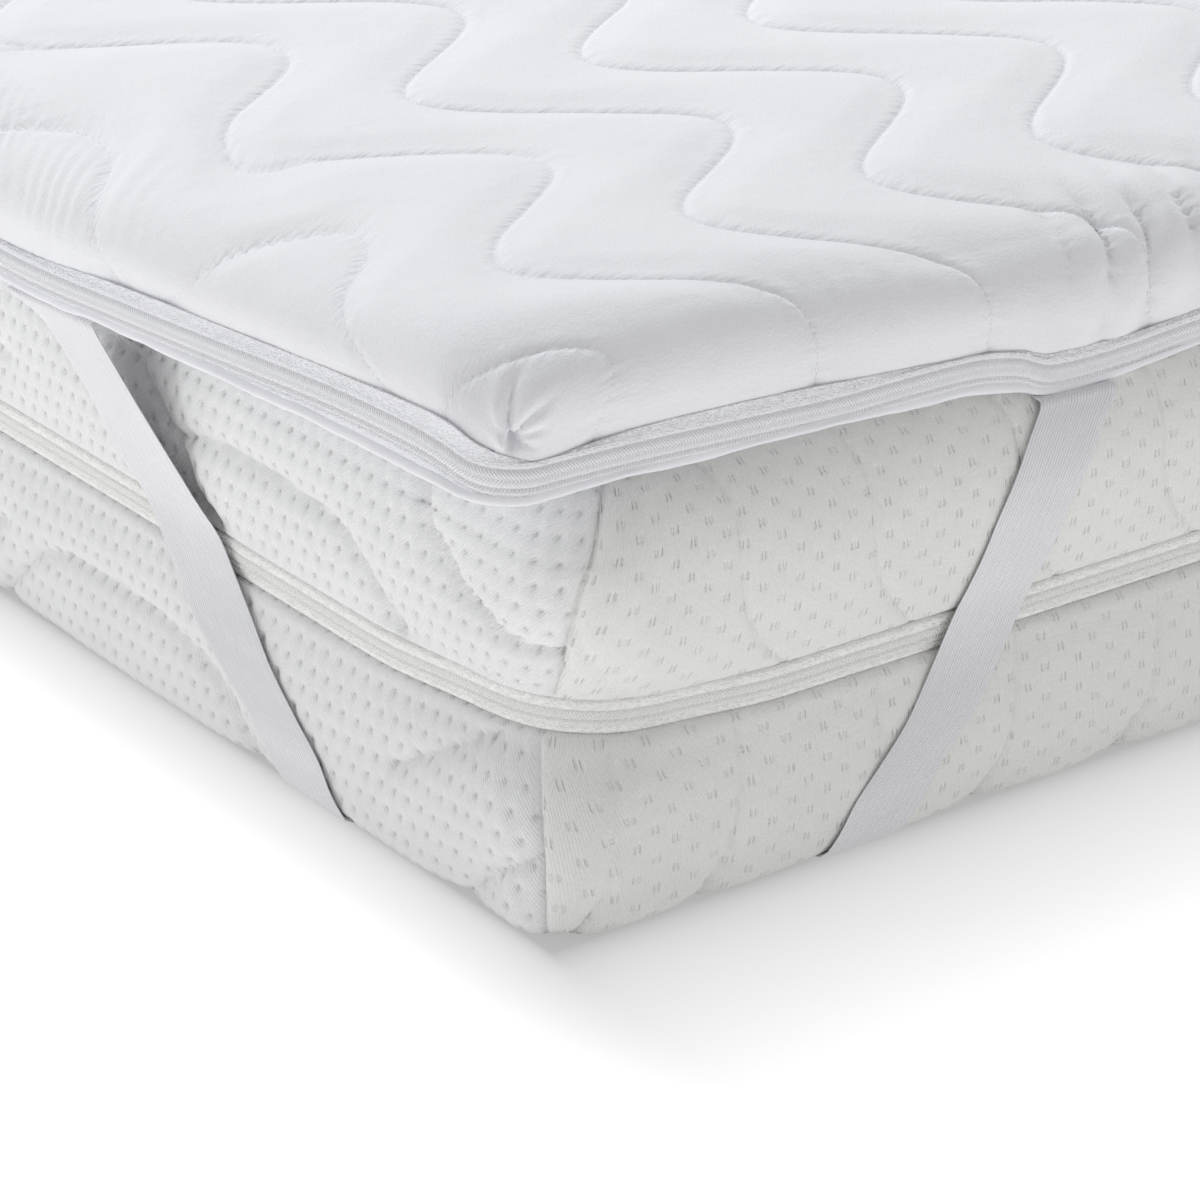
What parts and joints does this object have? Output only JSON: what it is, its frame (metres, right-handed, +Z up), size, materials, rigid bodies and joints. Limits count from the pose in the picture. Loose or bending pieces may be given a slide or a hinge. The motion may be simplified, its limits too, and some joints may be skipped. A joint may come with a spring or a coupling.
{
  "type": "mattress topper on mattress",
  "caption": "Quilted, padded single-bed topper with a zip round its rim and elastic straps at its corners, fitted over a plain foam mattress.",
  "frame": {"origin": "centre of the mattress's flat underside, which rests on the bed or floor", "axes": "+Z up from the bed, +Y along the length of the bed, +X across its width"},
  "size_m": [0.9498, 2.0312, 0.2532],
  "materials": {
    "topper_cloth": "matt fine plain weave, quilted with spaced stitches",
    "zip_white": "woven zip tape with a moulded nylon coil, slightly glossy",
    "elastic": "ribbed woven elastic, matt",
    "mattress_knit": "soft double knit with small tucked dimples, matt",
    "zip_cream": "woven zip tape with a moulded nylon coil, slightly glossy"
  },
  "bodies": {
    "root": {"mattress": "mattress_knit", "mattress_zip": "zip_cream", "topper_underside": "topper_cloth", "topper_zip": "zip_white", "topper_pad": "topper_cloth", "strap_front_left": "elastic", "strap_back_left": "elastic", "strap_front_right": "elastic", "strap_back_right": "elastic"}
  },
  "joints": []
}
